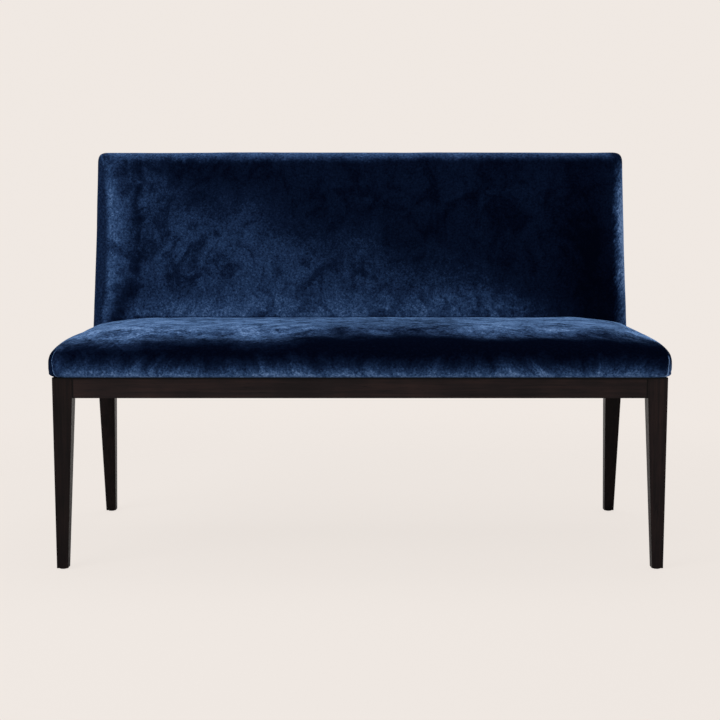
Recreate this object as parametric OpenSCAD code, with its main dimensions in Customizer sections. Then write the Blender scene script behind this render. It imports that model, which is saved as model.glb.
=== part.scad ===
// Dining settee: upholstered seat and back on a dark stained timber frame.
// Millimetres, +Z up, front towards -Y. The origin lies on the floor, at the middle of the width and depth.

/* [Frame] */
// Width over the legs, at the rails
frame_w = 1340; // [900:10:2000]
// Depth from the front legs' front faces to the rear legs' rear faces, at the rails
frame_d = 607; // [500:1:760]
// Height of the rails' lower edges above the floor
rail_bottom_h = 380; // [300:5:450]
// Height of each rail
rail_h = 45; // [42:1:80]
// Thickness of each rail
rail_t = 22; // [18:1:30]
// How far the rails sit back from the legs' outer faces
rail_setback = 0.8; // [0:0.1:4]
// Distance between the two cross rails' middles
cross_rail_spacing = 440; // [240:10:600]
// Gap between the top of the blocks and cross rails and the top of the rails
under_seat_gap = 1.2; // [1:0.1:4]

/* [Legs] */
// Width of a leg at the rails
leg_w = 43; // [36:1:70]
// Depth of a leg at the rails
leg_d = 40; // [34:1:70]
// Width of a foot
foot_w = 24.5; // [20:0.5:40]
// Depth of a foot
foot_d = 25; // [20:0.5:40]
// How far a foot's outer faces lean in from the leg above
foot_lean = 2.5; // [0:0.5:8]
// How far the rear feet stand behind the rear legs' tops
rear_rake = 69; // [20:1:110]
// Diameter of a foot glide
glide_d = 18; // [12:1:19]
// Height of a foot glide
glide_h = 2.5; // [1.5:0.5:6]
// Length of a glide's nail
glide_nail_l = 15; // [10:1:25]
// Diameter of a glide's nail
glide_nail_d = 2.4; // [1.6:0.1:3.4]

/* [Joints] */
// Diameter of a rail dowel
dowel_d = 8; // [6:1:9]
// Length of a rail dowel
dowel_l = 44; // [36:1:48]
// Height from one dowel to the next, where the dowels of two rails pass each other
dowel_pitch = 10.2; // [9.6:0.1:11]
// Depth of a dowel in the front or rear rail at a cross rail
cross_dowel_depth = 12; // [8:1:14]
// Diameter of a dowel in the seat and back frames
thin_dowel_d = 6; // [5:1:8]
// Length of a dowel in the seat and back frames
thin_dowel_l = 30; // [24:1:40]
// Room across a dowel or screw in its hole
hole_room = 0.1; // [0.05:0.05:0.4]
// Room past a dowel's end in its hole
end_room = 1; // [0.5:0.5:3]

/* [Corner blocks] */
// Length of a corner block along each rail
block_l = 80; // [70:1:100]
// Height of a corner block
block_h = 36; // [28:1:38]
// Width of a block's blunt ends
block_end_w = 10; // [6:1:16]
// Gap between a block and the leg that it goes round
block_leg_gap = 0.5; // [0.3:0.1:2]
// Diameter of a block screw
block_screw_d = 4; // [3:0.5:5]
// How far a block screw goes into its rail
block_screw_bite = 15; // [10:1:17]
// Timber under a block screw's head
block_screw_seat = 14; // [10:1:18]
// Distance from a block's end to its screw
block_screw_inset = 18; // [14:1:22]
// Diameter of a seat screw
seat_screw_d = 4.5; // [3:0.5:6]
// How far a seat screw goes into the seat frame
seat_screw_bite = 16; // [10:1:18]
// Timber over a seat screw's head
seat_screw_seat = 20; // [12:1:26]
// Distance from a leg's inner face to the seat screw
seat_screw_inset = 12; // [8:1:16]

/* [Seat frame] */
// Width of a seat frame member
seat_frame_w = 60; // [45:1:80]
// Thickness of a seat frame member
seat_frame_t = 22; // [18:1:30]
// How far the seat frame sits in from the legs' outer faces
seat_frame_inset = 9; // [7:0.5:16]
// Gap between the seat frame and the back posts
seat_frame_gap = 1; // [0.5:0.5:4]
// Width of a seat frame bar
seat_bar_w = 44; // [30:1:70]
// Thickness of a seat frame bar
seat_bar_t = 13; // [10:1:16]

/* [Webbing] */
// Width of a webbing strap
web_w = 50; // [40:1:70]
// Thickness of a webbing strap
web_t = 1.2; // [0.8:0.1:2]
// Distance between the straps' middles
web_pitch = 112; // [80:1:150]
// How far the straps' ends stay in from the frame's edges
web_end_inset = 8; // [4:1:20]

/* [Seat cushion] */
// Height of the seat's crown above the rails
seat_rise = 95; // [80:1:140]
// How far the seat bulges out past the legs at each side
seat_bulge_side = 16; // [4:1:30]
// How far the seat bulges out past the legs in front
seat_bulge_front = 14; // [4:1:30]
// How far the seat's lower edge sits back from the legs' outer faces
seat_edge_setback = 1.5; // [0:0.5:5]
// Height of the seat's widest line above the rails
seat_wide_h = 30; // [15:1:45]
// Reach of the round-over along the seat's sides
seat_round_side = 36; // [20:1:60]
// Reach of the round-over along the seat's front
seat_round_front = 50; // [20:1:80]
// Reach of the round-over along the seat's rear
seat_round_rear = 14; // [8:1:30]
// How far the seat's sides are drawn down below the crown
seat_drop_side = 26; // [5:1:35]
// How far the seat's front is drawn down below the crown
seat_drop_front = 30; // [5:1:40]
// How far the seat's rear is drawn down below the crown
seat_drop_rear = 14; // [2:1:25]
// Distance over which the seat's sides fall away from the crown
seat_fall_side = 190; // [80:5:300]
// Distance over which the seat's front falls away from the crown
seat_fall_front = 230; // [80:5:300]
// Distance over which the seat's rear falls away from the crown
seat_fall_rear = 120; // [60:5:240]
// Radius of the seat's front corners, seen from above
seat_corner_r = 45; // [20:1:70]
// Radius of the seat's rear corners, seen from above
seat_rear_corner_r = 10; // [6:1:20]
// Width of the cover that is turned in under the seat
seat_turn_in = 30; // [24:1:45]
// Gap between the seat and the back
seat_back_gap = 0.6; // [0.3:0.1:2]

/* [Back] */
// Height of the back above the rails
back_rise = 510; // [400:5:700]
// How far the back stands out past the legs at each side
back_overhang = 2; // [1:0.5:6]
// Lean of the back posts' rear faces, in degrees
back_recline = 8.9; // [4:0.1:14]
// Depth of a back post at its top
post_top_d = 28; // [22:1:34]
// Padding in front of the posts at the rails
back_pad_low = 46; // [36:1:70]
// Padding in front of the posts at their tops
back_pad_top = 25; // [18:1:45]
// Padding above the posts
back_pad_above = 22; // [15:1:40]
// How far the middle of the back stands forward of its edges
back_crown = 6; // [0:1:20]
// Height above the seat at which the back begins to stand forward
back_crown_start = 30; // [0:5:60]
// Radius of the back's front edges
back_edge_r = 20; // [8:1:24]
// Radius of the back's top corners, seen from the front
back_corner_r = 20; // [8:1:40]
// Height of the back frame's rails
back_rail_h = 55; // [40:1:80]
// Width of a back upright
upright_w = 45; // [30:1:70]
// Thickness of a back upright
upright_t = 22; // [16:1:26]
// Distance between the back uprights' middles
upright_spacing = 440; // [240:10:600]
// Thickness of the outside back's board
board_t = 4; // [3:0.5:8]
// How far the board's edges sit in from the outside back's edges
board_inset = 2.4; // [2:0.1:6]

/* [Covers] */
// Thickness of the velvet with its wadding
cover_t = 2.5; // [1.5:0.1:4]
// Thickness of the outside back's velvet
back_velvet_t = 2; // [1:0.1:3]
// Depth of the sewn seams at the corners
seam_depth = 1.2; // [0:0.1:3]
// Thickness of the dust cover
dust_t = 0.8; // [0.5:0.1:0.9]
// Gap between the dust cover and the rails
dust_gap = 1; // [0.5:0.5:4]
// Gap between a soft piece and what it lies on
soft_gap = 0.3; // [0.2:0.1:1]

/* [Hidden] */

// Heights
rail_top = rail_bottom_h + rail_h;
rail_mid = rail_bottom_h + rail_h / 2;
seat_h = rail_top + seat_rise;
back_h = rail_top + back_rise;
block_top = rail_top - under_seat_gap;
seat_frame_low = rail_top + cover_t;
seat_frame_top = seat_frame_low + seat_frame_t;
foam_low = seat_frame_top + 2 * web_t + soft_gap;
seat_wide = rail_top + seat_wide_h;
post_top = back_h - back_pad_above;
back_rail_low = foam_low + soft_gap;
back_top_rail_low = post_top - back_rail_h;

// Widths, from the middle
half_w = frame_w / 2;
leg_in = half_w - leg_w;
rail_out = half_w - rail_setback;
rail_in = rail_out - rail_t;
back_half = half_w + back_overhang;
post_out = back_half - cover_t - soft_gap;
seat_half = half_w + seat_bulge_side;
seat_frame_half = half_w - seat_frame_inset;
seat_frame_in = seat_frame_half - seat_frame_w;

// Depths: the part's front and rear ends lie at equal distances from the origin
back_reach = frame_d + back_rise * tan(back_recline) + board_t + back_velvet_t;
rear_reach = max(back_reach, frame_d + rear_rake);
front_y = (seat_bulge_front - rear_reach) / 2;
rear_y = front_y + frame_d;
front_leg_in = front_y + leg_d;
rear_leg_in = rear_y - leg_d;
front_rail_out = front_y + rail_setback;
front_rail_in = front_rail_out + rail_t;
rear_rail_out = rear_y - rail_setback;
rear_rail_in = rear_rail_out - rail_t;
seat_frame_front_y = front_y + seat_frame_inset;
seat_frame_rear_y = rear_leg_in - seat_frame_gap;
rear_member_out = rear_y - seat_frame_gap - rail_setback;
rear_member_in = rear_member_out - seat_frame_w;

// The back posts' faces, and the padded face in front of them, at height z
rear_slope = tan(back_recline);
post_rise = post_top - rail_top;
post_slope = (leg_d + post_rise * rear_slope - post_top_d) / post_rise;
pad_slope = (back_pad_low - back_pad_top) / post_rise;
face_slope = post_slope + pad_slope;
function post_rear(z) = rear_y + (z - rail_top) * rear_slope;
function post_front(z) = rear_leg_in + (z - rail_top) * post_slope;
function back_face(z) = rear_leg_in - back_pad_low + (z - rail_top) * face_slope;

// Small values for cuts that pass through, and for how smooth round things are
through = 5;
far = 200;
round_fn = 20;
small_fn = 14;
corner_fn = 40;

timber = "#241e1c";
beech = "#c9a476";
steel = "#a9adb2";
velvet = "#14284f";
foam = "#e6d9a8";
webbing = "#6b5a45";
cambric = "#1b1b1d";

// Draws the children at both sides
module both_sides() {
    children();
    mirror([1, 0, 0]) children();
}

// A block between two corners
module block(low, high) {
    translate(low) cube(high - low);
}

// Round rods along X, Y and Z, by their middles
module rod_x(p, d, l) {
    translate(p) rotate([0, 90, 0]) cylinder(d = d, h = l, center = true, $fn = small_fn);
}
module rod_y(p, d, l) {
    translate(p) rotate([90, 0, 0]) cylinder(d = d, h = l, center = true, $fn = small_fn);
}

// An outline in Y and Z, drawn out along X from x0 to x1
module side_profile(x0, x1, points) {
    translate([x0, 0, 0]) rotate([90, 0, 90]) linear_extrude(x1 - x0) polygon(points);
}

// An outline in X and Z, drawn out along Y from y0 to y1
module front_profile(y0, y1, points) {
    translate([0, y1, 0]) rotate([90, 0, 0]) linear_extrude(y1 - y0) polygon(points);
}

// All the dowels that join the rails to the legs, or their holes
module rail_dowel_set(d, l) {
    both_sides() {
        for (step = [-1.5, 0.5]) {
            rod_x([leg_in, front_rail_out + rail_t / 2, rail_mid + step * dowel_pitch], d, l);
            rod_x([leg_in, rear_rail_out - rail_t / 2, rail_mid + step * dowel_pitch], d, l);
        }
        for (step = [-0.5, 1.5], y = [front_leg_in, rear_leg_in])
            rod_y([rail_out - rail_t / 2, y, rail_mid + step * dowel_pitch], d, l);
    }
}

// The dowels that join the cross rails to the front and rear rails, or their holes
module cross_dowel_set(d, room) {
    l = 2 * cross_dowel_depth + 2 * room;
    both_sides()
        for (step = [-1, 1], y = [front_rail_in, rear_rail_in])
            rod_y([cross_rail_spacing / 2, y, rail_mid + step * dowel_pitch], d, l);
}

module rail_dowels() color(beech) {
    rail_dowel_set(dowel_d, dowel_l);
    cross_dowel_set(dowel_d, 0);
}

module rail_dowel_holes() {
    rail_dowel_set(dowel_d + hole_room, dowel_l + 2 * end_room);
    cross_dowel_set(dowel_d + hole_room, end_room);
}

// Glide: a round foot with a nail, standing on the floor at p
module glide(p) {
    edge = glide_h * 0.4;
    translate(p) rotate_extrude($fn = round_fn) polygon([[0, 0], [glide_d / 2 - edge, 0],
        [glide_d / 2, edge], [glide_d / 2, glide_h], [glide_nail_d / 2, glide_h],
        [glide_nail_d / 2, glide_h + glide_nail_l - glide_nail_d], [0, glide_h + glide_nail_l]]);
}

foot_x = half_w - foot_lean - foot_w / 2;
front_foot_y = front_y + foot_lean + foot_d / 2;
rear_foot_y = rear_y + rear_rake - foot_d / 2;

module foot_glides() color("#1a1a1a") both_sides() {
    glide([foot_x, front_foot_y, 0]);
    glide([foot_x, rear_foot_y, 0]);
}

module nail_hole(y) {
    translate([foot_x, y, 0])
        cylinder(d = glide_nail_d + hole_room, h = glide_h + glide_nail_l + end_room, $fn = small_fn);
}

// Leg: a square top at the rails, tapering below them on its inner faces
module front_leg() color(timber) difference() {
    intersection() {
        front_profile(front_y - through, front_leg_in + through, [[leg_in, rail_top], [half_w, rail_top],
            [half_w, rail_bottom_h], [half_w - foot_lean, glide_h],
            [half_w - foot_lean - foot_w, glide_h], [leg_in, rail_bottom_h]]);
        side_profile(leg_in - through, half_w + through, [[front_y, rail_top], [front_leg_in, rail_top],
            [front_leg_in, rail_bottom_h], [front_y + foot_lean + foot_d, glide_h],
            [front_y + foot_lean, glide_h], [front_y, rail_bottom_h]]);
    }
    rail_dowel_holes();
    nail_hole(front_foot_y);
}

// Rear leg and back post in one piece: raked below the rails, leaning back above them
module rear_leg() color(timber) difference() {
    intersection() {
        front_profile(front_y, rear_y + far, [[leg_in, post_top], [post_out, post_top],
            [post_out, rail_top], [half_w, rail_top], [half_w, rail_bottom_h],
            [half_w - foot_lean, glide_h], [half_w - foot_lean - foot_w, glide_h],
            [leg_in, rail_bottom_h]]);
        side_profile(leg_in - through, half_w + through, [[post_front(post_top), post_top],
            [post_rear(post_top), post_top], [rear_y, rail_top], [rear_y, rail_bottom_h],
            [rear_y + rear_rake, glide_h], [rear_y + rear_rake - foot_d, glide_h],
            [rear_leg_in, rail_bottom_h], [rear_leg_in, rail_top]]);
    }
    rail_dowel_holes();
    back_dowel_holes();
    nail_hole(rear_foot_y);
}

module front_rail() color(timber) difference() {
    block([-leg_in, front_rail_out, rail_bottom_h], [leg_in, front_rail_in, rail_top]);
    rail_dowel_holes();
    block_screw_holes();
}

module rear_rail() color(timber) difference() {
    block([-leg_in, rear_rail_in, rail_bottom_h], [leg_in, rear_rail_out, rail_top]);
    rail_dowel_holes();
    block_screw_holes();
}

module side_rail() color(timber) difference() {
    block([rail_in, front_leg_in, rail_bottom_h], [rail_out, rear_leg_in, rail_top]);
    rail_dowel_holes();
    block_screw_holes();
}

module cross_rail() color(timber) difference() {
    block([(cross_rail_spacing - rail_t) / 2, front_rail_in, rail_bottom_h],
        [(cross_rail_spacing + rail_t) / 2, rear_rail_in, block_top]);
    rail_dowel_holes();
}

// Draws the children, made for the front right corner, at all four corners of the rails
module four_corners() {
    both_sides() {
        children();
        translate([0, front_y + rear_y, 0]) mirror([0, 1, 0]) children();
    }
}

block_screw_x = rail_in - block_l + block_screw_inset;
block_screw_y = front_rail_in + block_l - block_screw_inset;
block_screw_z = block_top - block_h / 2;
screw_head_h = 3;

// Pan head screw at p with its point along +Z: seat is the timber under the head, bite what lies past it
module screw(d, seat, bite) {
    rotate_extrude($fn = small_fn) polygon([[0, -seat - screw_head_h], [d * 0.8, -seat - screw_head_h],
        [d, -seat], [d / 2, -seat], [d / 2, bite - d], [0, bite]]);
}

// Hole for such a screw, with a pocket for its head
module screw_hole(d, seat, bite, pocket) {
    translate([0, 0, -seat - screw_head_h])
        cylinder(d = d + hole_room, h = seat + screw_head_h + bite + end_room, $fn = small_fn);
    translate([0, 0, -seat - pocket]) cylinder(d = 2 * d + 1, h = pocket, $fn = small_fn);
}

// Places that point out of a block into the rail in front of it, and into the rail beside it
module at_front_screw() {
    translate([block_screw_x, front_rail_in, block_screw_z]) rotate([90, 0, 0]) children();
}
module at_side_screw() {
    translate([rail_in, block_screw_y, block_screw_z]) rotate([0, 90, 0]) children();
}

module block_screw_holes() four_corners() {
    at_front_screw() screw_hole(block_screw_d, block_screw_seat, block_screw_bite, block_l);
    at_side_screw() screw_hole(block_screw_d, block_screw_seat, block_screw_bite, block_l);
}

module corner_block_screws() color(steel) four_corners() {
    at_front_screw() screw(block_screw_d, block_screw_seat, block_screw_bite);
    at_side_screw() screw(block_screw_d, block_screw_seat, block_screw_bite);
}

// Seat screws stand in the corner blocks, between the leg's and the side rail's inner faces
module at_seat_screw() {
    translate([(leg_in + rail_in) / 2, front_leg_in + seat_screw_inset, block_top]) children();
}

seat_screw_reach = seat_frame_low - block_top + seat_screw_bite;

module seat_screw_holes() four_corners()
    at_seat_screw() screw_hole(seat_screw_d, seat_screw_seat, seat_screw_reach, block_h);

module seat_screws() color(steel) four_corners()
    at_seat_screw() screw(seat_screw_d, seat_screw_seat, seat_screw_reach);

// Corner block: fits between two rails and round the leg's inner corner
module corner_blocks() color(beech) difference() {
    four_corners() translate([0, 0, block_top - block_h]) linear_extrude(block_h) polygon([
        [rail_in - block_l, front_rail_in], [leg_in - block_leg_gap, front_rail_in],
        [leg_in - block_leg_gap, front_leg_in + block_leg_gap], [rail_in, front_leg_in + block_leg_gap],
        [rail_in, front_rail_in + block_l], [rail_in - block_end_w, front_rail_in + block_l],
        [rail_in - block_l, front_rail_in + block_end_w]]);
    block_screw_holes();
    seat_screw_holes();
}

// Seat frame: the front member runs the full width, the side members butt against it
seat_bar_x = cross_rail_spacing / 2;
seat_frame_r = seat_corner_r - (seat_frame_inset - seat_edge_setback);
seat_frame_mid = seat_frame_low + seat_frame_t / 2;
side_butt_y = seat_frame_front_y + seat_frame_w;
rear_butt_mid = (rear_member_in + seat_frame_rear_y) / 2;

module seat_dowel_set(d, l) both_sides() {
    for (step = [-1, 1])
        rod_y([seat_frame_half - seat_frame_w / 2 + step * seat_frame_w / 3, side_butt_y, seat_frame_mid], d, l);
    rod_x([seat_frame_in, rear_butt_mid, seat_frame_mid], d, l);
    for (y = [side_butt_y, rear_member_in])
        rod_y([seat_bar_x, y, seat_frame_low + seat_bar_t / 2], d, l);
}

module seat_frame_dowels() color(beech) seat_dowel_set(thin_dowel_d, thin_dowel_l);

module seat_frame_holes() {
    seat_dowel_set(thin_dowel_d + hole_room, thin_dowel_l + 2 * end_room);
    seat_screw_holes();
}

// The front member's corners follow the cushion's corners, which lie round the same centres
module seat_frame_front() color(beech) difference() {
    block([-seat_frame_half, seat_frame_front_y, seat_frame_low], [seat_frame_half, side_butt_y, seat_frame_top]);
    both_sides() difference() {
        block([seat_frame_half - seat_frame_r, seat_frame_front_y - through, seat_frame_low - through],
            [seat_frame_half + through, seat_frame_front_y + seat_frame_r, seat_frame_top + through]);
        translate([seat_frame_half - seat_frame_r, seat_frame_front_y + seat_frame_r, seat_frame_low - 2 * through])
            cylinder(r = seat_frame_r, h = seat_frame_t + 4 * through, $fn = corner_fn);
    }
    seat_frame_holes();
}

module seat_frame_side() color(beech) difference() {
    block([seat_frame_in, side_butt_y, seat_frame_low], [seat_frame_half, seat_frame_rear_y, seat_frame_top]);
    seat_frame_holes();
}

module seat_frame_rear() color(beech) difference() {
    block([-seat_frame_in, rear_member_in, seat_frame_low], [seat_frame_in, rear_member_out, seat_frame_top]);
    seat_frame_holes();
}

module seat_frame_bars() color(beech) difference() {
    both_sides() block([seat_bar_x - seat_bar_w / 2, side_butt_y, seat_frame_low],
        [seat_bar_x + seat_bar_w / 2, rear_member_in, seat_frame_low + seat_bar_t]);
    seat_frame_holes();
}

// Middles of the straps that fit side by side in a width, one pitch apart
function strap_places(width) =
    let (count = floor((width - web_w) / web_pitch) + 1)
    [for (i = [0 : count - 1]) (i - (count - 1) / 2) * web_pitch];

module seat_webbing_along() color(webbing)
    for (x = strap_places(2 * seat_frame_in))
        block([x - web_w / 2, seat_frame_front_y + web_end_inset, seat_frame_top],
            [x + web_w / 2, rear_member_out - leg_d, seat_frame_top + web_t]);

across_mid = (side_butt_y + rear_member_in) / 2;

module seat_webbing_across() color(webbing)
    for (y = strap_places(rear_member_in - side_butt_y))
        block([web_end_inset - seat_frame_half, across_mid + y - web_w / 2, seat_frame_top + web_t],
            [seat_frame_half - web_end_inset, across_mid + y + web_w / 2, seat_frame_top + 2 * web_t]);

// A form's rings have this many points on half a short side, and steps along a long side; its last ring
// leaves a strip twice as wide as strip_half
side_points = 2;
long_segments = 8;
strip_half = 30;

// Half a ring of points, from the middle of the +u side over the v edge to the middle of the -u side
function half_ring(u, v_mid, v_edge, r, dent, angles) =
    let (s = sign(v_edge - v_mid), c = v_edge - s * r,
        right = concat(
            [for (j = [0 : side_points - 1]) [u, v_mid + (c - v_mid) * (j + 0.5) / (side_points + 0.5)]],
            [for (a = angles) let (q = a == 45 ? r - dent : r) [u - r + q * cos(a), c + s * q * sin(a)]]),
        count = len(right))
    concat(right,
        [for (i = [1 : long_segments - 1]) [(u - r) * (1 - 2 * i / long_segments), v_edge]],
        [for (i = [count - 1 : -1 : 0]) [-right[i].x, right[i].y]]);

// A whole ring: half-width u, from v0 to v1, with its own corner radius at each of the two edges
function ring(u, v0, v1, r0, r1, dent, angles) =
    let (v_mid = (v0 + v1) / 2,
        high = half_ring(u, v_mid, v1, r1, dent, angles),
        low = half_ring(u, v_mid, v0, r0, dent, angles))
    concat(high, [for (i = [len(low) - 1 : -1 : 0]) low[i]]);

// Triangles across a ring, counter-clockwise: fans over its straight sides, and a zip between its long edges
function across_ring(n) =
    let (m = n / 2, s = side_points)
    concat(
        [for (i = [-1 - s : s - 1]) [(i + n) % n, (i + 1 + n) % n, s + 1]],
        [[n - 2 - s, n - 1 - s, s + 1]],
        [for (k = [s + 1 : m - 3 - s]) each [[k, k + 1, n - 2 - k], [k, n - 2 - k, n - 1 - k]]],
        [[m - 2 - s, m + s, m + s + 1]],
        [for (i = [m - 1 - s : m + s - 1]) [m - 2 - s, i, i + 1]]);

// A closed form from rings of equal counts
module stack(rings) {
    n = len(rings[0]);
    last = (len(rings) - 1) * n;
    walls = [for (i = [0 : len(rings) - 2], k = [0 : n - 1])
        let (a = i * n + k, b = i * n + (k + 1) % n, c = b + n, d = a + n)
        each [[a, d, c], [a, c, b]]];
    first_end = across_ring(n);
    last_end = [for (t = first_end) [last + t[0], last + t[2], last + t[1]]];
    polyhedron([for (points = rings) each points], concat(walls, first_end, last_end));
}

// Corner angles of a seamed outer face, and of a plain inner face
seam_angles = [0, 20, 39, 45, 51, 70, 90];
plain_angles = [0, 20, 45, 70, 90];

// Seat cushion: levels of [tuck under, rise to the widest line, round-over, rise to the top, way in]
seat_v0 = front_y - seat_bulge_front;
seat_v1 = back_face(rail_top) - seat_back_gap;
seat_way_in = (seat_v1 - seat_v0 - seat_round_front - seat_round_rear) / 2 - strip_half;
seat_levels = concat(
    [for (a = [0, 45]) [1 - sin(a), 1 - cos(a), 0, 0, 0]],
    [for (a = [0, 22.5, 45, 67.5, 90]) [0, 1, 1 - cos(a), sin(a), 0]],
    [for (k = [1 : 5]) [0, 1, 1, 1, seat_way_in * pow(k / 5, 1.4)]]);

// How far an edge is drawn down, at distance d in from it
function fall(d, drop, reach) = drop * pow(max(0, 1 - max(0, d) / reach), 1.5);

// Height of the seat's top over a point in plan
function seat_top(x, v) = seat_h - norm([
    fall(seat_half - abs(x), seat_drop_side, seat_fall_side),
    fall(v - seat_v0, seat_drop_front, seat_fall_front) + fall(seat_v1 - v, seat_drop_rear, seat_fall_rear)]);

// One level of the seat form, drawn in by o; its rear leans with the back's face
function seat_ring(level, o, dent, angles) =
    let (way = level[4],
        u = seat_half - o - (seat_bulge_side + seat_edge_setback) * level[0] - seat_round_side * level[2] - way,
        v0 = seat_v0 + o + (seat_bulge_front + seat_edge_setback) * level[0] + seat_round_front * level[2] + way,
        v1 = seat_v1 - o - seat_round_rear * level[2] - way,
        front_r = min(seat_corner_r - o, (v1 - v0) / 2 - seat_rear_corner_r),
        base = rail_top + o + (seat_wide_h - o) * level[1])
    [for (p = ring(u, v0, v1, front_r, seat_rear_corner_r - o, dent, angles))
        let (z = base + (seat_top(p.x, p.y) - o - seat_wide) * level[3],
            share = (p.y - seat_v0) / (seat_v1 - seat_v0))
        [p.x, p.y + (z - rail_top) * face_slope * share, z]];

module seat_form(o, dent, angles)
    stack([for (level = seat_levels) seat_ring(level, o, dent, angles)]);

// Space of the seat frame and its webbing, which the soft pieces go round
module seat_frame_space() block([-seat_frame_half - soft_gap, seat_frame_front_y - soft_gap, rail_top - through],
    [seat_frame_half + soft_gap, rear_y + far, foam_low]);

module seat_foam() color(foam) difference() {
    seat_form(cover_t + soft_gap, 0, plain_angles);
    seat_frame_space();
}

// Seat cover: a shell turned in under the frame, and open at the rear where the frame passes
module seat_cover() color(velvet) difference() {
    seat_form(0, seam_depth, seam_angles);
    seat_form(cover_t, 0, plain_angles);
    block([seat_turn_in - half_w, front_y + seat_turn_in, rail_top - through],
        [half_w - seat_turn_in, rear_y, seat_frame_low]);
    block([-seat_frame_half - soft_gap, seat_v1 - seat_turn_in, rail_top - through],
        [seat_frame_half + soft_gap, rear_y, foam_low]);
    seat_screw_holes();
}

// Dust cover: a sheet under the seat, inside the rails, cut round the legs
module dust_cover() color(cambric) difference() {
    block([dust_gap - rail_in, front_rail_in + dust_gap, rail_top - dust_t],
        [rail_in - dust_gap, rear_rail_in - dust_gap, rail_top]);
    four_corners() block([leg_in - dust_gap, front_y, rail_top - through],
        [half_w, front_leg_in + dust_gap, rail_top + through]);
    seat_screw_holes();
}

// A member of the back frame between two heights, from the posts' front faces back to depth d, or to their rears
module back_member(x0, x1, z0, z1, d) side_profile(x0, x1, [[post_front(z0), z0],
    [d > 0 ? post_front(z0) + d : post_rear(z0), z0], [d > 0 ? post_front(z1) + d : post_rear(z1), z1],
    [post_front(z1), z1]]);

upright_x = upright_spacing / 2;
upright_low = back_rail_low + back_rail_h;
post_angle = atan(post_slope);

module back_dowel_set(d, l) both_sides() {
    for (low = [back_rail_low, back_top_rail_low], share = [0.25, 0.75])
        let (z = low + share * back_rail_h)
        rod_x([leg_in, (post_front(z) + post_rear(z)) / 2, z], d, l);
    for (z = [upright_low, back_top_rail_low], step = [-1, 1])
        translate([upright_x + step * upright_w / 4, post_front(z) + upright_t / 2, z])
            rotate([-post_angle, 0, 0]) cylinder(d = d, h = l, center = true, $fn = small_fn);
}

module back_dowels() color(beech) back_dowel_set(thin_dowel_d, thin_dowel_l);

module back_dowel_holes() back_dowel_set(thin_dowel_d + hole_room, thin_dowel_l + 2 * end_room);

module back_top_rail() color(beech) difference() {
    back_member(-leg_in, leg_in, back_top_rail_low, post_top, 0);
    back_dowel_holes();
}

module back_bottom_rail() color(beech) difference() {
    back_member(-leg_in, leg_in, back_rail_low, upright_low, 0);
    back_dowel_holes();
}

module back_uprights() color(beech) difference() {
    both_sides() back_member(upright_x - upright_w / 2, upright_x + upright_w / 2,
        upright_low, back_top_rail_low, upright_t);
    back_dowel_holes();
}

// Upright straps on the front of the back frame, from the bottom rail to the top rail
module back_webbing() color(webbing) translate([0, -web_t, 0])
    for (x = strap_places(2 * leg_in))
        back_member(x - web_w / 2, x + web_w / 2, back_rail_low + web_end_inset, post_top - web_end_inset, web_t);

// Back form: levels of [round-over, how far forward, way in]; the first is the posts' rear plane
back_way_in = (back_rise - back_edge_r) / 2 - strip_half;
back_levels = concat([[0, -1, 0]],
    [for (a = [0, 22.5, 45, 67.5, 90]) [1 - cos(a), sin(a), 0]],
    [for (k = [1 : 5]) [1, 1, back_way_in * pow(k / 5, 1.4)]]);

// How far the padded face stands forward at a point, above the seat
crown_low = seat_h + back_crown_start;
function crown(x, z) = back_crown * (1 - pow(x / back_half, 4))
    * sin(180 * min(1, max(0, (z - crown_low) / (back_h - crown_low))));

// One level of the back form, drawn in by o; with open > 0 it runs out of the cover's rear and bottom
function back_ring(level, o, open, dent, angles) =
    let (inset = o + back_edge_r * level[0] + level[2])
    [for (p = ring(back_half - inset, rail_top - open + level[2], back_h - inset,
        seat_rear_corner_r - o, back_corner_r - o, dent, angles))
        let (y = level[1] < 0 ? post_rear(p.y) + open
            : back_face(p.y) + o + back_edge_r * (1 - level[1]) - (level[2] > 0 ? crown(p.x, p.y) : 0))
        [p.x, y, p.y]];

module back_form(o, open, dent, angles)
    stack([for (level = back_levels) back_ring(level, o, open, dent, angles)]);

// Space of the back frame: behind its webbing and below the posts' tops
module back_frame_space() {
    z0 = rail_top - through;
    z1 = post_top + soft_gap;
    side_profile(-back_half - through, back_half + through, [[post_front(z0) - web_t - soft_gap, z0],
        [post_front(z1) - web_t - soft_gap, z1], [rear_y + far, z1], [rear_y + far, z0]]);
}

module back_foam() color(foam) difference() {
    back_form(cover_t + soft_gap, 0, 0, plain_angles);
    back_frame_space();
    block([-back_half, front_y, rail_top - through], [back_half, rear_y + far, foam_low]);
}

// Back cover: a shell over the front, top and sides, cut away where the seat frame passes under it
module back_cover() color(velvet) difference() {
    back_form(0, 0, seam_depth, seam_angles);
    back_form(cover_t, through, 0, plain_angles);
    seat_frame_space();
}

// Outside back, in the posts' rear plane: the board, and the velvet that goes round its edges
outside_h = back_rise / cos(back_recline);
module outside_plate(inset, depth, proud) translate([0, rear_y, rail_top]) rotate([90 - back_recline, 0, 0])
    translate([0, 0, -depth]) linear_extrude(depth + proud) {
        u = back_half - inset;
        v1 = outside_h - inset;
        r = back_corner_r - inset;
        polygon(concat([[-u, inset], [u, inset]],
            [for (a = [0 : 10 : 90]) [u - r + r * cos(a), v1 - r + r * sin(a)]],
            [for (a = [90 : 10 : 180]) [r - u + r * cos(a), v1 - r + r * sin(a)]]));
    }

module outside_back_board() color(beech) outside_plate(board_inset, board_t, 0);

module outside_back_cover() color(velvet) difference() {
    outside_plate(soft_gap, board_t + back_velvet_t, 0);
    outside_plate(board_inset, board_t, through);
}

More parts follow.
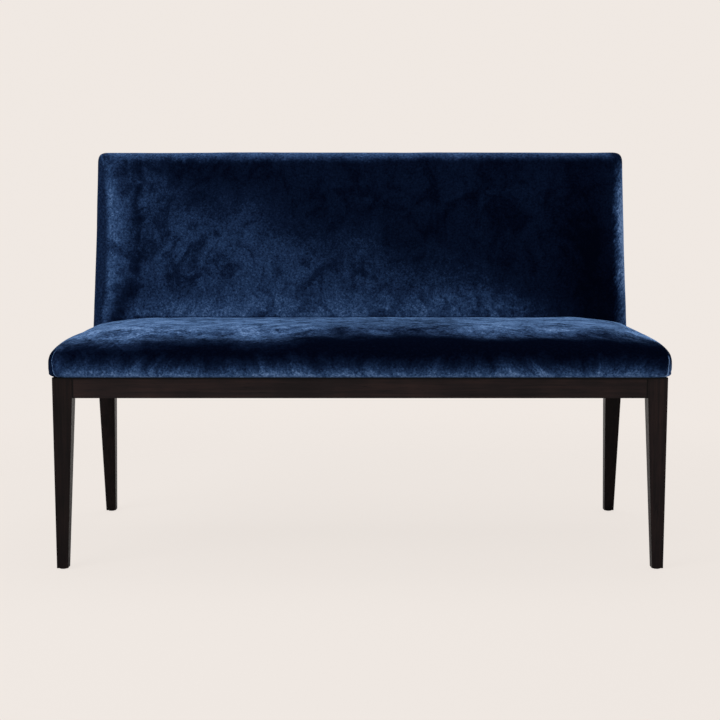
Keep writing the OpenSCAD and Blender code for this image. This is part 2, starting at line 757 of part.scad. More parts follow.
mirror([1, 0, 0]) front_leg();  // front_leg_left
front_leg();  // front_leg_right
mirror([1, 0, 0]) rear_leg();  // rear_leg_left
rear_leg();  // rear_leg_right
front_rail();
rear_rail();
mirror([1, 0, 0]) side_rail();  // side_rail_left
side_rail();  // side_rail_right
mirror([1, 0, 0]) cross_rail();  // cross_rail_left
cross_rail();  // cross_rail_right
rail_dowels();
corner_blocks();
corner_block_screws();
foot_glides();
seat_frame_front();
seat_frame_rear();
mirror([1, 0, 0]) seat_frame_side();  // seat_frame_left
seat_frame_side();  // seat_frame_right
seat_frame_bars();
seat_frame_dowels();
seat_webbing_along();
seat_webbing_across();
seat_foam();
seat_cover();
dust_cover();
seat_screws();
back_top_rail();
back_bottom_rail();
back_uprights();
back_dowels();
back_webbing();
back_foam();
back_cover();
outside_back_board();
outside_back_cover();
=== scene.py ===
import math

import bmesh
import bpy
from mathutils import Matrix, Vector, noise


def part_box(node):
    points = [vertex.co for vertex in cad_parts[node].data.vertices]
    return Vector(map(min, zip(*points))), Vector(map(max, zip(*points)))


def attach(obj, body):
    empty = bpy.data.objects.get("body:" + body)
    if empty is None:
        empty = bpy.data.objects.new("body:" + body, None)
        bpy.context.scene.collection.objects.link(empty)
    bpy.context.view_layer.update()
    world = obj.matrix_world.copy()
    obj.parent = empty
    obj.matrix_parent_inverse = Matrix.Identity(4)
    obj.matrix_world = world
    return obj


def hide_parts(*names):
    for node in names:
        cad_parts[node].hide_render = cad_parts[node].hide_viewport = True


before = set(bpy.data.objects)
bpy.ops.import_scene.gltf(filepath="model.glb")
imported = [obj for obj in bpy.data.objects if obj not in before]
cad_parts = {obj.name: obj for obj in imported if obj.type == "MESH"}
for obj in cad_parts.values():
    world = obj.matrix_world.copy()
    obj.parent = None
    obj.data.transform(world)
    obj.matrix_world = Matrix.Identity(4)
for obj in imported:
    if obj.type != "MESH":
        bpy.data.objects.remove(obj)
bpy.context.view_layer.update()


# Legs: two square front legs, and two rear legs that run up inside the back as its posts. Solid
# beech, sawn to their taper and rake, with eased edges, stained near black and lacquered satin.
class Shade:
    """What a shader node gives out: a number, colour or direction that changes over a surface."""

    def __init__(self, tree, socket=None):
        self.tree, self.socket = tree, socket

    def node(self, kind, settings=(), sockets=(), out=0):
        made = self.tree.nodes.new("ShaderNode" + kind)
        for name, value in dict(settings).items():
            if name == "stops":
                while len(made.color_ramp.elements) < len(value):
                    made.color_ramp.elements.new(0.5)
                for element, (position, colour) in zip(made.color_ramp.elements, value):
                    element.position, element.color = position, (*colour, 1)
            else:
                setattr(made, name, value)
        for name, value in dict(sockets).items():
            if isinstance(value, Shade):
                self.tree.links.new(value.socket, made.inputs[name])
            else:
                made.inputs[name].default_value = value
        return Shade(self.tree, made.outputs[out] if made.outputs else None)

    def math(self, operation, *values):
        return self.node("Math", {"operation": operation}, enumerate(values))

    def __add__(self, other):
        return self.math("ADD", self, other)

    def __sub__(self, other):
        return self.math("SUBTRACT", self, other)

    def __rsub__(self, other):
        return self.math("SUBTRACT", other, self)

    def __mul__(self, other):
        return self.math("MULTIPLY", self, other)

    __radd__, __rmul__ = __add__, __mul__

    def rise(self, low, high):
        """0 where this is at low, 1 where it is at high, and smooth between them."""
        return self.node("MapRange", {"interpolation_type": "SMOOTHSTEP"},
                         {"Value": self, "From Min": low, "From Max": high})

    def ridge(self, middle, width):
        """1 at the middle, falling to 0 at width on both sides of it."""
        return self.math("ABSOLUTE", self - middle).rise(width, 0.0)

    def grain(self, scale, detail=2.0, roughness=0.5, distortion=0.0):
        """Noise of this place, from 0 to 1; scale has three numbers, each per metre."""
        stretched = self.node("Mapping", {}, {"Vector": self, "Scale": scale})
        return self.node("TexNoise", {}, {"Vector": stretched, "Scale": 1.0, "Detail": detail,
                                          "Roughness": roughness, "Distortion": distortion})

    def colours(self, *stops):
        """The colours that this number stands for, as (position, colour) stops."""
        return self.node("ValToRGB", {"stops": stops}, {0: self})

    def bump(self, strength, depth):
        return self.node("Bump", {}, {"Height": self, "Strength": strength, "Distance": depth})


def finish(name, constants):
    """Makes a material: returns it, a way to lay a shade on it, and the place on the piece."""
    material = bpy.data.materials.new(name)
    material.use_nodes = True
    shader = material.node_tree.nodes["Principled BSDF"]
    for socket, value in constants.items():
        shader.inputs[socket].default_value = value

    def lay(socket, shade):
        material.node_tree.links.new(shade.socket, shader.inputs[socket])

    return material, lay, Shade(material.node_tree).node("TexCoord", out="Object")


def lengthwise(across, along, axis):
    """The scale of timber's figure: fine across the piece, and drawn out along this axis."""
    scale = [across] * 3
    scale[axis] = along
    return scale


rail_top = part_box("front_rail")[1].z
stain = ((0.22, (0.0035, 0.0026, 0.0028)), (0.5, (0.0105, 0.0068, 0.0071)),
         (0.78, (0.0235, 0.0128, 0.0116)))


def stained_timber(name, axis, light=1.0, rail_end=None):
    """Stained beech with its grain along this axis. It has painted shade along its top, under the
    cushion, and a painted shadow line where a rail ends against its legs."""
    material, lay, place = finish(name, {"Coat Weight": 0.025, "Coat Roughness": 0.3, "IOR": 1.45,
                                         "Specular IOR Level": 0.08})
    figure = place.grain(lengthwise(150.0, 5.0, axis), 4.0, 0.62, 0.4)
    cloud = place.grain((14.0, 14.0, 14.0), 2.0)
    pore = place.grain(lengthwise(620.0, 26.0, axis), 2.0, 0.6).rise(0.56, 0.72)
    x, z = (place.node("SeparateXYZ", {}, {0: place}, out=i) for i in (0, 2))
    # Painted shade along the top edge, where the cushion overhangs the timber.
    painted_shade_under_cushion = z.rise(rail_top - 0.0042, rail_top - 0.0016)
    depth = figure * 0.75 + cloud * 0.35 - pore * 0.25 - painted_shade_under_cushion * 0.5
    if rail_end:
        # A painted shadow line where the rail meets each leg.
        painted_shadow_at_leg = x.math("ABSOLUTE", x).rise(rail_end - 0.0038, rail_end - 0.0024)
        depth = depth - painted_shadow_at_leg * 0.8
    lay("Base Color", depth.colours(*((at, [part * light for part in tone]) for at, tone in stain)))
    lay("Roughness", figure * 0.16 + pore * 0.2 + 0.3)
    lay("Normal", (figure * 0.4 - pore).bump(0.25, 0.0004))
    return material


def coat(node, material):
    """Gives a CAD node its finish."""
    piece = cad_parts[node]
    piece.data.materials.clear()
    piece.data.materials.append(material)
    return piece


def eased(node, material, radius):
    """Finishes a timber node, and eases its edges."""
    piece = coat(node, material)
    weld = piece.modifiers.new("Joined faces", "WELD")
    weld.merge_threshold = 0.00001
    flat = piece.modifiers.new("Flat faces", "DECIMATE")
    flat.decimate_type, flat.angle_limit = "DISSOLVE", math.radians(1)
    edge = piece.modifiers.new("Eased edges", "BEVEL")
    edge.width, edge.segments = radius, 2
    edge.limit_method, edge.angle_limit = "ANGLE", math.radians(30)
    edge.use_clamp_overlap, edge.harden_normals = True, False


upright_timber = stained_timber("stained timber, grain upright", 2, light=0.5)
paler_timber = stained_timber("stained timber, paler leg", 2, light=0.85)
for leg in ("front_leg_left", "rear_leg_left", "rear_leg_right"):
    eased(leg, upright_timber, radius=0.0012)
eased("front_leg_right", paler_timber, radius=0.0012)


# Rails: four rails doweled between the legs, and set back from them by less than a millimetre, and
# two cross rails between the front and the rear one. They are the same stained beech, with the
# grain along each rail, and have eased edges too.
leg_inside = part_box("front_leg_right")[0].x
long_timber = stained_timber("stained timber, grain across", 0, rail_end=leg_inside)
deep_timber = stained_timber("stained timber, grain front to rear", 1)
for rail in ("front_rail", "rear_rail"):
    eased(rail, long_timber, radius=0.001)
for rail in ("side_rail_left", "side_rail_right", "cross_rail_left", "cross_rail_right"):
    eased(rail, deep_timber, radius=0.001)


# Hidden timber: raw beech dowels, corner blocks, and the seat's and the back's inner frames, sawn
# and planed but not stained, and a thin plywood board behind the back.
def raw_timber(name, pale, dark, axis):
    material, lay, place = finish(name, {"Roughness": 0.62, "IOR": 1.45})
    figure = place.grain(lengthwise(90.0, 4.0, axis), 4.0, 0.6, 0.5)
    flecks = place.grain(lengthwise(420.0, 60.0, axis), 1.0).rise(0.6, 0.7)
    lay("Base Color", (figure * 0.8 + flecks * 0.18).colours((0.2, pale), (0.75, dark)))
    lay("Roughness", figure * 0.2 + 0.5)
    lay("Normal", (figure - flecks * 0.3).bump(0.2, 0.0004))
    return material


beech = raw_timber("raw beech", (0.52, 0.34, 0.19), (0.33, 0.19, 0.095), 0)
for node in ("rail_dowels", "corner_blocks", "seat_frame_front", "seat_frame_rear",
             "seat_frame_left", "seat_frame_right", "seat_frame_bars", "seat_frame_dowels",
             "back_top_rail", "back_bottom_rail", "back_uprights", "back_dowels"):
    coat(node, beech)
plywood = raw_timber("birch plywood", (0.60, 0.43, 0.26), (0.42, 0.27, 0.15), 2)
coat("outside_back_board", plywood)


# Screws: pan head wood screws of zinc plated steel. Eight hold the corner blocks to the rails, and
# four come up through the blocks and hold the seat.
zinc, lay, place = finish("zinc plated steel", {"Metallic": 1.0, "Roughness": 0.35})
tone = place.grain((300.0, 300.0, 300.0), 3.0)
lay("Base Color", tone.colours((0.3, (0.42, 0.43, 0.45)), (0.7, (0.62, 0.62, 0.62))))
lay("Roughness", tone * 0.25 + 0.22)
for node in ("corner_block_screws", "seat_screws"):
    coat(node, zinc)


# Glides: a round glide of black nylon under each foot, moulded on a nail that is tapped into the
# end of the leg. The floor has scuffed them a little.
nylon, lay, place = finish("black nylon", {"IOR": 1.5})
scuff = place.grain((260.0, 260.0, 90.0), 3.0, 0.6)
lay("Base Color", scuff.colours((0.35, (0.006, 0.006, 0.006)), (0.7, (0.02, 0.02, 0.02))))
lay("Roughness", scuff * 0.35 + 0.35)
lay("Normal", scuff.bump(0.2, 0.0002))
coat("foot_glides", nylon)


# Webbing: straps of plain woven jute, stretched over the seat's and the back's frames and tacked to
# them. The foam lies on the straps.
jute, lay, place = finish("jute webbing", {"Roughness": 0.9, "Specular IOR Level": 0.2})
warp = place.grain((900.0, 140.0, 140.0), 1.0)
weft = place.grain((140.0, 900.0, 900.0), 1.0)
lay("Base Color", (warp * 0.5 + weft * 0.5).colours((0.3, (0.10, 0.065, 0.035)),
                                                    (0.7, (0.30, 0.21, 0.12))))
lay("Normal", (warp + weft).bump(0.5, 0.0006))
for node in ("seat_webbing_along", "seat_webbing_across", "back_webbing"):
    coat(node, jute)


# Dust cover: black cambric stretched under the seat, stapled inside the rails and cut round the
# legs. Between the cross rails it hangs a little.
def whole(form):
    return form.verts[:] + form.edges[:] + form.faces[:]


def sized(form, size, middle):
    """Scales a form one metre wide about its middle, and then moves the middle here."""
    bmesh.ops.scale(form, vec=size, verts=form.verts)
    bmesh.ops.translate(form, vec=middle, verts=form.verts)


def put(name, data):
    """Puts a new object in the scene."""
    item = bpy.data.objects.new(name, data)
    bpy.context.scene.collection.objects.link(item)
    return item


def new_piece(name, form):
    """Puts a finished form in the scene as a piece."""
    piece = put(name, bpy.data.meshes.new(name))
    form.to_mesh(piece.data)
    form.free()
    return piece


def ramp(value, start, end):
    """0 up to start, 1 from end on, and even between them. The start may be the larger one."""
    return min(1, max(0, (value - start) / (end - start)))


def ripple(place, height):
    """A gentle rise and fall from place to place, up to this height."""
    return noise.noise(Vector(place)) * height


dust_low, dust_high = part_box("dust_cover")
dust_wide, dust_deep = dust_high.x - dust_low.x, dust_high.y - dust_low.y
notch_gap = 0.001
notch_side = leg_inside - notch_gap
notch_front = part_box("front_leg_right")[1].y + notch_gap
notch_rear = dust_low.y + dust_high.y - notch_front
cloth = bmesh.new()
bmesh.ops.create_grid(cloth, x_segments=90, y_segments=38, size=0.5)
sized(cloth, (dust_wide, dust_deep, 1), (0, (dust_low.y + dust_high.y) / 2, dust_high.z))
for middle, normal in (((notch_side, 0, 0), (1, 0, 0)), ((-notch_side, 0, 0), (-1, 0, 0)),
                       ((0, notch_front, 0), (0, -1, 0)), ((0, notch_rear, 0), (0, 1, 0))):
    bmesh.ops.bisect_plane(cloth, geom=whole(cloth), dist=0.0003, plane_co=middle, plane_no=normal)
notches = [f for f in cloth.faces if abs(f.calc_center_median().x) > notch_side
           and not notch_front < f.calc_center_median().y < notch_rear]
bmesh.ops.delete(cloth, geom=notches, context="FACES")
dust_area = sum(f.calc_area() for f in cloth.faces)
held = {v for e in cloth.edges if e.is_boundary for v in e.verts}
cross_rail_at, dust_sag = 0.22, 0.0032
slack_from_cross, slack_from_side, slack_from_rail = 0.11, 0.1, 0.12
for v in cloth.verts:
    if v not in held:
        across = min(ramp(abs(abs(v.co.x) - cross_rail_at), 0, slack_from_cross),
                     ramp(dust_high.x - abs(v.co.x), 0, slack_from_side))
        inward = ramp(min(v.co.y - dust_low.y, dust_high.y - v.co.y), 0, slack_from_rail)
        across, inward = (math.sin(math.pi / 2 * share) for share in (across, inward))
        pucker = ripple((v.co.x * 16, v.co.y * 16, 0), height=0.0003)
        v.co.z -= dust_sag * across * inward - pucker
bmesh.ops.recalc_face_normals(cloth, faces=cloth.faces)
dust = new_piece("dust_cloth", cloth)
thick = dust.modifiers.new("Thickness", "SOLIDIFY")
thick.thickness, thick.offset = 0.0007, -1
cambric, lay, place = finish("black cambric", {"Roughness": 0.95, "Specular IOR Level": 0.2,
                                               "Sheen Weight": 0.15, "Sheen Roughness": 0.5})
threads = place.grain((1100.0, 260.0, 260.0), 1.0) + place.grain((260.0, 1100.0, 260.0), 1.0)
lay("Base Color", threads.colours((0.7, (0.006, 0.006, 0.0065)), (1.0, (0.021, 0.021, 0.022))))
lay("Normal", threads.bump(0.4, 0.0004))
dust.data.materials.append(cambric)
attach(dust, "root")
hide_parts("dust_cover")


# Seat cushion: foam on the webbed seat frame, crowned, under one piece of blue velvet that is drawn
# down over the edges, sewn at the two front corners, turned in under the frame and stapled.
seat_low, seat_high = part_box("seat_cover")
seat_half, seat_front, seat_rear = seat_high.x - 0.0027, seat_low.y, 0.18097
seat_middle = (seat_front + seat_rear) / 2
seat_crown = seat_high.z + 0.0025
front_round, rear_round = 0.045, 0.010
seat_corner = Vector((seat_half - front_round, seat_front + front_round, 0))
side_height, top_height, seat_tuck = 0.030, 0.065, 0.0105
seat_wide = rail_top + side_height
cover_room = 0.0015
back_lean = 0.22422


def fall(distance, drop, reach):
    """How far the crown has dropped at this distance from an edge."""
    return drop * max(0.0, 1 - max(0.0, distance) / reach) ** 1.5


def seat_top(x, y):
    """The crowned top's height. The left end is a little slacker."""
    slack = 0.0015 * ramp(x, -0.38, -0.56)
    at_end = fall(seat_half - abs(x), drop=0.0215, reach=0.190)
    at_front = fall(y - seat_front, drop=0.030, reach=0.230)
    at_rear = fall(seat_rear - y, drop=0.014, reach=0.120)
    return seat_crown - slack - math.hypot(at_end, at_front + at_rear)


def applied(piece):
    """Makes what a piece's modifiers give its own mesh."""
    bpy.context.view_layer.update()
    shown = piece.evaluated_get(bpy.context.evaluated_depsgraph_get())
    mesh = bpy.data.meshes.new_from_object(shown)
    piece.modifiers.clear()
    piece.data = mesh


def even_mesh(piece, size):
    """Remeshes a closed piece into even quads of about this size."""
    remesh = piece.modifiers.new("Even mesh", "REMESH")
    remesh.mode, remesh.voxel_size = "VOXEL", size
    applied(piece)


def reshape(piece, move):
    for v in piece.data.vertices:
        v.co = move(v.co.copy())
    piece.data.update()


def dress(piece, depth):
    """Moves each point along its normal by depth(point, normal)."""
    normals = [v.normal.copy() for v in piece.data.vertices]
    for v, normal in zip(piece.data.vertices, normals):
        v.co += normal * depth(v.co, normal)
    piece.data.update()


def evened(piece, moves, rounds):
    """Averages each point's move with its neighbours', as the foam irons out small wrinkles."""
    for _ in range(rounds):
        total, count = [move.copy() for move in moves], [1] * len(moves)
        for edge in piece.data.edges:
            a, b = edge.vertices
            total[a] += moves[b]
            total[b] += moves[a]
            count[a] += 1
            count[b] += 1
        moves = [move / n for move, n in zip(total, count)]
    return moves


def plump(piece, grip, pressure, most):
    """Swells a stuffed piece as cloth under pressure; grip(point) is 1 where it is stapled down.
    The foam under the cover lets it out by up to most, and hardly in or sideways at all."""
    in_most, slide_most, steps = 0.0005, 0.003, 20
    held = piece.vertex_groups.new(name="stapled")
    for v in piece.data.vertices:
        held.add([v.index], grip(v.co), "REPLACE")
    before = [(v.co.copy(), v.normal.copy()) for v in piece.data.vertices]
    cloth = piece.modifiers.new("Stuffing", "CLOTH")
    cloth.settings.vertex_group_mass = "stapled"
    cloth.settings.use_pressure, cloth.settings.uniform_pressure_force = True, pressure
    cloth.settings.effector_weights.gravity = 0
    cloth.settings.quality = 4
    cloth.point_cache.frame_start, cloth.point_cache.frame_end = 1, steps
    for step in range(1, steps + 1):
        bpy.context.scene.frame_set(step)
    applied(piece)
    bpy.context.scene.frame_set(1)
    moves = []
    for v, (start, normal) in zip(piece.data.vertices, before):
        out = (v.co - start).dot(normal)
        slide = v.co - start - normal * out
        slide *= min(1, slide_most / max(slide.length, 0.0001))
        moves.append(slide + normal * max(-in_most, min(most, out)))
    moves = evened(piece, moves, rounds=8)
    for v, (start, normal), move in zip(piece.data.vertices, before, moves):
        v.co = start + move
    piece.vertex_groups.clear()


def subdivided(piece):
    smooth = piece.modifiers.new("Smooth", "SUBSURF")
    smooth.levels = smooth.render_levels = 1
    applied(piece)
    piece.data.shade_smooth()


form = bmesh.new()
bmesh.ops.create_grid(form, x_segments=1, y_segments=1, size=0.5)
sized(form, (2 * seat_half, seat_rear - seat_front, 1), (0, seat_middle, rail_top))
for end, radius in ((-1, front_round), (1, rear_round)):
    bmesh.ops.bevel(form, geom=[v for v in form.verts if (v.co.y - seat_middle) * end > 0.2],
                    offset=radius, offset_type="OFFSET", segments=8, profile=0.5,
                    affect="VERTICES", material=-1)
outline = [v.co.copy() for v in form.faces[:][0].verts]
# The block is raised level by level. Up to its widest line it goes out from under the tuck, and
# from there the sides, the front and the rear draw in over the top.
levels = [(1 - math.sin(a), 1 - math.cos(a), 0, 0) for a in (0, 0.4, 0.8, 1.2)]
levels += [(0, 1, 1 - math.cos(a), math.sin(a)) for a in (0, 0.3, 0.6, 0.9, 1.2, math.pi / 2)]
side_draw, front_draw, rear_draw = 0.032, 0.050, 0.014
top = form.faces[:][0]
for level, (tuck, low, over, high) in enumerate(levels):
    if level:
        grown = bmesh.ops.extrude_face_region(form, geom=[top])
        top = [g for g in grown["geom"] if isinstance(g, bmesh.types.BMFace)][0]
    for v, start in zip(top.verts, outline):
        half = seat_half - seat_tuck * tuck - side_draw * over ** 1.55
        front = seat_front + seat_tuck * tuck + front_draw * over
        rear = seat_rear - rear_draw * over
        share = (start.y - seat_front) / (seat_rear - seat_front)
        v.co = (start.x / seat_half * half, front + share * (rear - front),
                rail_top + side_height * low + top_height * high)
bmesh.ops.recalc_face_normals(form, faces=form.faces)
seat = new_piece("seat_cushion", form)
even_mesh(seat, size=0.008)


def squared(p, corner, way, most):
    """Pushes a point of a rounded corner, with its centre at corner, out towards a square one. way
    is -1 for a front corner and 1 for a rear one. most is 0 for round, and 4 or more for square."""
    side, ahead = abs(p.x) - corner.x, way * (p.y - corner.y)
    if side > 0 and ahead > 0 and math.hypot(side, ahead) > 0.002:
        reach, square = math.hypot(side, ahead), 2 + most
        widen = ((side / reach) ** square + (ahead / reach) ** square) ** (-1 / square)
        p.x, p.y = math.copysign(corner.x + side * widen, p.x), corner.y + way * ahead * widen


def crowned_seat(p):
    """Squares the corners low down, crowns the top, and leans the rear with the back."""
    rear_corner = Vector((seat_half - rear_round, seat_rear - rear_round))
    squared(p, seat_corner, way=-1, most=4 * ramp(p.z, seat_wide - 0.008, rail_top))
    squared(p, rear_corner, way=1, most=6 * ramp(p.z, 0.468, 0.453))
    if p.z > seat_wide:
        share = (p.z - seat_wide) / top_height
        p.z = seat_wide + (seat_top(p.x, p.y) - cover_room - seat_wide) * share
    p.y += (p.z - rail_top) * back_lean * (p.y - seat_front) / (seat_rear - seat_front)
    return p


reshape(seat, crowned_seat)


def unleaned(p):
    """How far back a point would be if the back stood upright."""
    return p.y - (p.z - rail_top) * back_lean


def seat_grip(p):
    """The cover is stapled down low all round, and behind, where the back hides it."""
    return max(ramp(p.z, 0.452, 0.437), ramp(unleaned(p), 0.165, 0.175))


plump(seat, seat_grip, pressure=4.0, most=0.006)
subdivided(seat)


def sharp(p, normal, way):
    """How far a low upright corner is let out, where the seat's rear meets the back's front. way is
    1 for a corner that faces the rear, and -1 for one that faces the front."""
    most, at_rear = 0.0034, p.y > 0.12
    low = ramp(p.z, 0.462, 0.450) * ramp(abs(p.x), 0.60, 0.62)
    corner = min(1, 2 * abs(normal.x) * max(0, way * normal.y))
    return most * low * corner * at_rear


def seat_pulls(p, normal):
    """Long soft waves over the front edge, and the short pulls that the staples leave below it."""
    wave = ripple((p.x * 5.5, p.y * 5, p.z * 9), height=0.0016)
    wave += ripple((p.x * 14, p.y * 12, p.z * 20), height=0.0007)
    pull = ripple((p.x * 30, p.y * 30, p.z * 6 + 4), height=0.0012) * ramp(p.z, 0.458, 0.432)
    off_rail = ramp(p.z - rail_top, 0.002, 0.012)
    off_back = ramp(unleaned(p), 0.172, 0.152)
    return (wave + pull) * off_rail * off_back + sharp(p, normal, way=1)


dress(seat, seat_pulls)


def seat_foot(p):
    """Brings the lowest edge out to a crisp line, where the cover turns under onto the rail."""
    right_out, left_out, front_out, rear_out = 0.0032, 0.0020, 0.0030, 0.0040
    low = ramp(p.z - rail_top, 0.011, 0.002)
    side_out = right_out if p.x > 0 else -left_out
    p.x += side_out * low * ramp(seat_half - abs(p.x), 0.030, 0.015)
    p.y -= front_out * low * ramp(p.y - seat_front, 0.030, 0.015)
    end = ramp(abs(p.x), 0.655, 0.665)
    p.y += rear_out * low * end * ramp(seat_rear - p.y, 0.012, 0.006)
    return p


reshape(seat, seat_foot)
# A seam runs up each front corner: a groove between two raised lips, which leans out as it rises
# and fades into the top. The cuts beside it give groove and lips rows of points of their own.
seam_turn, seam_lean, seam_foot = {-1: math.radians(57), 1: math.radians(54)}, 0.37, 0.005
seam_top, seam_fade = {-1: 0.492, 1: 0.480}, 0.014
groove_depth, groove_width = 0.0022, 0.0009
lip_height, lip_width, lip_away = 0.0007, 0.0012, 0.0018
sewn = bmesh.new()
sewn.from_mesh(seat.data)
for side in (-1, 1):
    centre = Vector((side * seat_corner.x, seat_corner.y, rail_top + seam_foot))
    turned, facing = math.sin(seam_turn[side]), math.cos(seam_turn[side])
    across = Vector((side * turned, facing, -seam_lean))
    out = Vector((side * facing, -turned, 0))
    for gap in (-0.0045, -0.0016, 0, 0.0016, 0.0045):
        near = []
        for f in sewn.faces:
            middle = f.calc_center_median() - centre
            if middle.z < 0.067 and middle.dot(out) > 0.02 and abs(middle.dot(across)) < 0.02:
                near.append(f)
        near += list({e for f in near for e in f.edges}) + list({v for f in near for v in f.verts})
        bmesh.ops.bisect_plane(sewn, geom=near, dist=0.0003, plane_co=centre + across * gap,
                               plane_no=across)
    for v in sewn.verts:
        beside, reach = (v.co - centre).dot(across), (v.co - centre).dot(out)
        if reach > 0.02 and abs(beside) < 0.006:
            fade = ramp(v.co.z, seam_top[side], seam_top[side] - seam_fade)
            fade *= ramp(v.co.z - rail_top, 0, 0.004)
            v.co -= out * fade * groove_depth * math.exp(-(beside / groove_width) ** 2)
            v.co += out * fade * lip_height * math.exp(-((abs(beside) - lip_away) / lip_width) ** 2)
sewn.to_mesh(seat.data)
sewn.free()
seat.data.shade_smooth()


def velvet(name, pile_and_painted_light):
    """Blue cotton velvet. The function given says how far the pile leans over: 0 stands up and
    looks dark, and 1 lies flat and catches the light, most of all from low down. On the seat and
    the back it also holds painted light and shade."""
    material, lay, place = finish(name, {
        "Roughness": 0.95, "Specular IOR Level": 0.0, "Sheen Weight": 0.01, "Sheen Roughness": 0.3,
        "Sheen Tint": (0.15, 0.38, 0.9, 1)})
    x, y, z = (place.node("SeparateXYZ", {}, {0: place}, out=i) for i in range(3))
    # lean is the pile's lean, with the painted light and shade of the seat and the back added in.
    lean = pile_and_painted_light(place, x, y, z)
    pile, speckle = place.grain((190.0, 190.0, 190.0), 4.0, 0.85), 3.0
    mixed = lean + (pile - 0.5) * (lean + 0.07) * speckle
    colour = (mixed * 0.6667).colours(
        (0.0, (0.0005, 0.0011, 0.0045)), (0.167, (0.0034, 0.0084, 0.0260)),
        (0.333, (0.0115, 0.0285, 0.0760)), (0.5, (0.0260, 0.0600, 0.1420)),
        (0.667, (0.0620, 0.1200, 0.2500)), (1.0, (0.1700, 0.2700, 0.4700)))
    relief = pile.bump(0.3, 0.0010)
    lay("Base Color", colour)
    lay("Normal", relief)
    flat = place.node("BsdfPrincipled", {}, {
        "Base Color": colour, "Normal": relief, "Roughness": 0.8, "Specular IOR Level": 0.05,
        "Sheen Weight": 0.7, "Sheen Roughness": 0.3, "Sheen Tint": (0.24, 0.46, 0.88, 1)})
    tree = material.node_tree
    standing = Shade(tree, tree.nodes["Principled BSDF"].outputs[0])
    both = place.node("MixShader", {}, {0: mixed.rise(0.0, 0.9), 1: standing, 2: flat})
    tree.links.new(both.socket, tree.nodes["Material Output"].inputs["Surface"])
    return material


def seat_pile_and_painted_light(place, x, y, z):
    """The top's pile lies flat in patches and stands up over the front edge, and painted sheen
    makes the top lighter still. Below, a fringe of strokes is brushed down to the rail. The seams'
    lips have painted highlights, with painted shade in their grooves and along the rail."""
    aside, on_half = x.math("ABSOLUTE", x), {-1: x.rise(0.1, -0.1), 1: x.rise(-0.1, 0.1)}
    cloud = place.grain((5.0, 7.0, 10.0), 2.0, 0.6, 0.6)
    combed = place.node("CombineXYZ", {}, {0: x, 1: y + aside * 0.25, 2: z})
    patch = combed.grain((11.0, 13.0, 14.0), 4.0, 0.62, 0.4)
    streak = combed.grain((34.0, 34.0, 34.0), 4.0, 0.75, 0.3)

    # The top: both halves lie flat and shine, up to a ragged edge in front; the middle is duller.
    # The top's lightness is partly painted sheen, and painted highlights run along the rear crest
    # and the left end's shoulder.
    left, right = x.rise(-0.03, -0.22), x.rise(0.18, 0.30)
    edge = y + left * 0.048 + x.rise(-0.35, -0.58) * 0.032
    edge = edge + right * 0.014 + x.rise(0.50, 0.64) * 0.03
    edge = edge + (cloud - 0.5) * 0.12 + (patch - 0.5) * 0.07 - x.rise(-0.53, -0.62) * 0.024
    between = y.rise(-0.15, 0.12) * (1 - left) * (1 - right)
    level = 0.42 + left * 0.30 + right * 0.30 + between * 0.25 + x.rise(-0.42, -0.56) * 0.07
    top = edge.rise(-0.295, -0.150) * z.rise(0.471, 0.492) * level
    # The last term is a painted highlight along the rear crest.
    top = top * ((patch - 0.5) * 2.0 + (streak - 0.5) * 3.4 + 1) + y.rise(0.155, 0.178) * 0.24
    # A painted highlight along the left end's shoulder.
    top = top + x.rise(-0.638, -0.656) * z.ridge(0.486, 0.009) * 0.22

    # The fringe: lobes of fine slanting strokes, brightest low down.
    slant = place.node("CombineXYZ", {}, {0: x + (z - 0.45) * (cloud - 0.5) * 5.0, 1: y, 2: z})
    lobe = slant.grain((26.0, 26.0, 6.0), 3.0, 0.6, 0.3)
    hair = slant.grain((150.0, 150.0, 48.0), 4.0, 0.75, 0.3)
    height = 0.482 - z + (lobe - 0.5) * 0.049 + (hair - 0.5) * 0.013
    height = height + x.rise(-0.35, -0.60) * 0.006 - x.rise(0.58, 0.64) * 0.006
    height = height.math("MAXIMUM", height, 0.0) * 20.0
    fringe = height * height * (hair * 0.55 + 0.56)
    fringe = fringe.math("MINIMUM", fringe, 0.95) * (1 - x.rise(-0.52, -0.62) * 0.22)

    # The seams: beside is the way round the corner from the seam, as in the mesh. The lips get
    # painted highlights and the grooves painted shade; painted shade lies beside the left seam and
    # round its corner, and painted light round the right one.
    wide, far = aside - seat_corner.x, y - seat_corner.y
    beside = sum((wide * math.sin(turn) + far * math.cos(turn)) * on_half[side]
                 for side, turn in seam_turn.items()) - (z - rail_top - seam_foot) * seam_lean
    near = z.rise(0.490, 0.476) * y.rise(-0.24, -0.30) * aside.rise(0.62, 0.64)
    near_left, near_right = near * on_half[-1], near * on_half[1]
    round_left = beside.rise(0.0, 0.002) * near_left
    round_right = beside.rise(0.003, 0.0045) * near_right
    close_left = beside.rise(-0.019, -0.003) * near_left
    # Painted highlights on the seams' lips.
    lips = beside.ridge(-0.0020, 0.0016) * near_left * 0.85
    lips = lips + beside.ridge(0.0012, 0.0019) * near_right * z.rise(0.475, 0.466) * 1.9
    fringe = fringe * (1 - beside.ridge(0.0, 0.0018) * near)
    fringe = fringe * (1 - close_left * 0.5) * (1 - round_left * 0.6)
    fringe = fringe + x.rise(-0.615, -0.640) * z.rise(0.492, 0.480) * 0.045
    # The last factor is painted shade along the foot, where the cover meets the rail.
    return (top + fringe + lips + round_right * 0.10 + 0.01) * z.rise(rail_top, rail_top + 0.0022)


seat.data.materials.append(velvet("velvet on the seat", seat_pile_and_painted_light))
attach(seat, "root")
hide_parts("seat_cover", "seat_foam")


